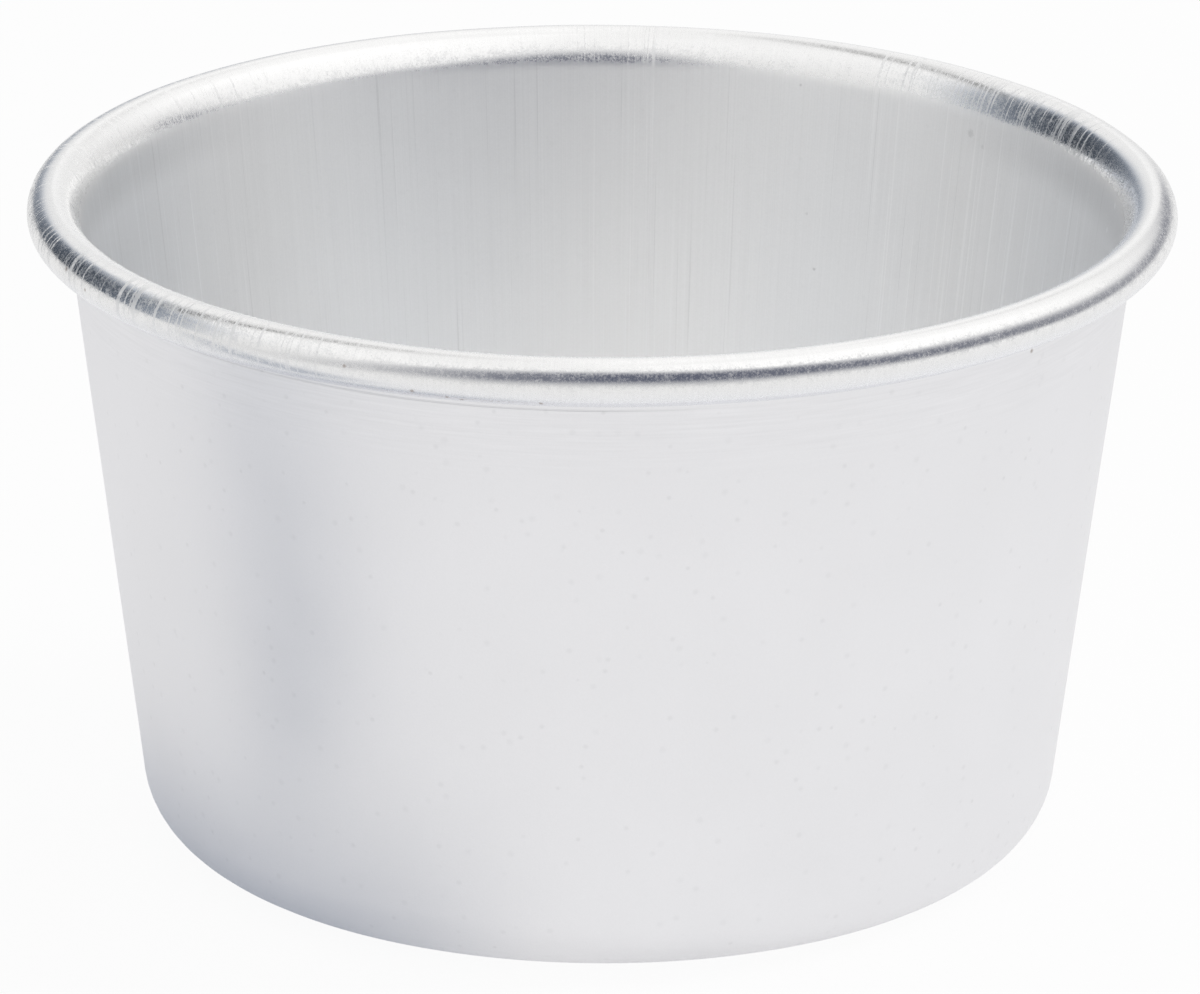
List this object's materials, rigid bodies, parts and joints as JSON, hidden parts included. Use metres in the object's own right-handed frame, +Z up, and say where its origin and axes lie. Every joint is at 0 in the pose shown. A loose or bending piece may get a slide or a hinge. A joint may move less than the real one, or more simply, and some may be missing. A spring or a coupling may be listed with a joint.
{
  "type": "dariole mould",
  "caption": "Small round tapering aluminium cup with a flat base, rounded base corner and rolled rim, for baking and turning out single puddings.",
  "frame": {"origin": "middle of the flat base, on the surface that the mould stands on", "axes": "+Z up the cup's axis through the mouth; X and Y are alike, since the cup is round"},
  "size_m": [0.08, 0.08, 0.047],
  "materials": {
    "aluminium": "satin drawn aluminium, brighter on the rolled rim"
  },
  "bodies": {
    "root": {"mould": "aluminium"}
  },
  "joints": []
}
